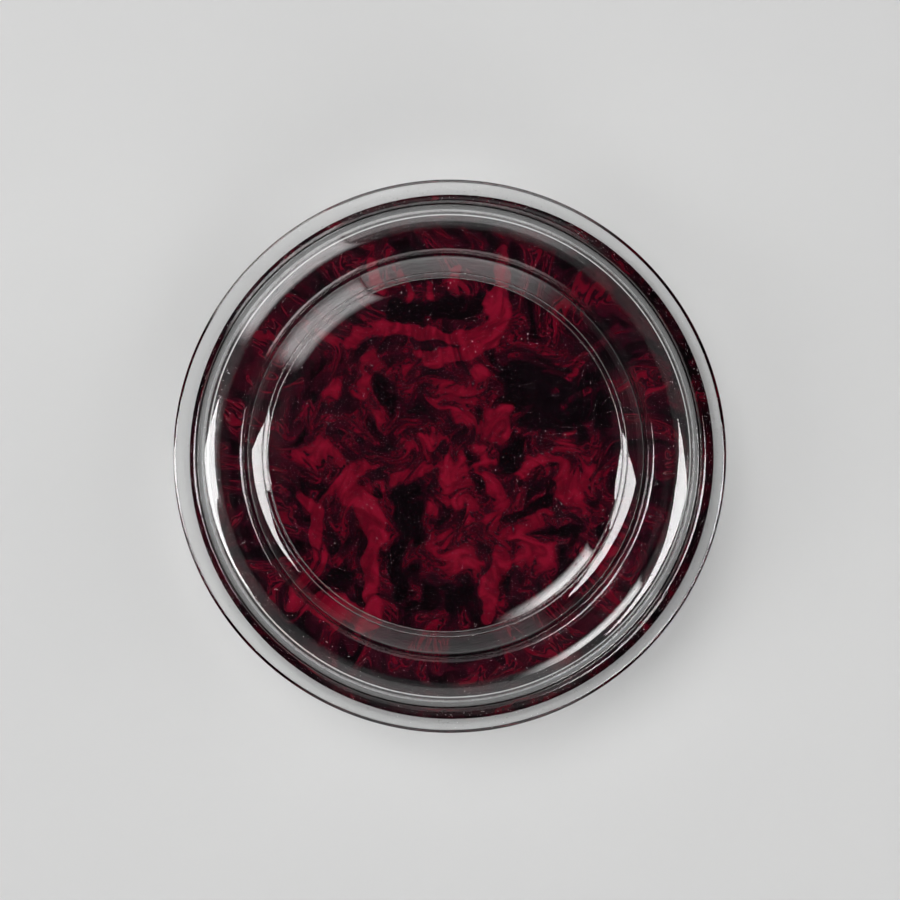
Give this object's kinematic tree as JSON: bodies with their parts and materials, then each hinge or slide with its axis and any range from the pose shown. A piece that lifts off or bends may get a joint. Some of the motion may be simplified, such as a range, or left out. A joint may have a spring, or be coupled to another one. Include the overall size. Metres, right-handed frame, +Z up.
{
  "type": "magnetic pin cushion",
  "caption": "Round magnetic dish for pins and needles, marbled plastic over a sealed ring magnet, on rubber feet, with a clear stepped press-on cover that lifts straight off.",
  "frame": {"origin": "on the dish's axis, in the plane that the rubber feet stand on", "axes": "+Z up along the dish's axis of symmetry; +X and +Y towards two neighbouring feet"},
  "size_m": [0.106, 0.106, 0.036],
  "materials": {
    "marbled_plastic": "gloss",
    "foam_tape": "matte",
    "ferrite": "matte",
    "zinc_steel": "satin",
    "base_plastic": "matte",
    "screw_steel": "satin",
    "foot_rubber": "matte",
    "clear_plastic": "polished"
  },
  "bodies": {
    "base": {"dish_body": "marbled_plastic", "magnet_pad": "foam_tape", "ring_magnet": "ferrite", "keeper_plate": "zinc_steel", "base_plate": "base_plastic", "base_screws": "screw_steel", "foot_1": "foot_rubber", "foot_2": "foot_rubber", "foot_3": "foot_rubber", "foot_4": "foot_rubber"},
    "cover": {"snap_cover": "clear_plastic"}
  },
  "joints": [
    {"name": "cover_lift", "type": "slide", "parent": "base", "child": "cover", "axis": [0, 0, 1], "range_m": [0, 0.06]}
  ]
}
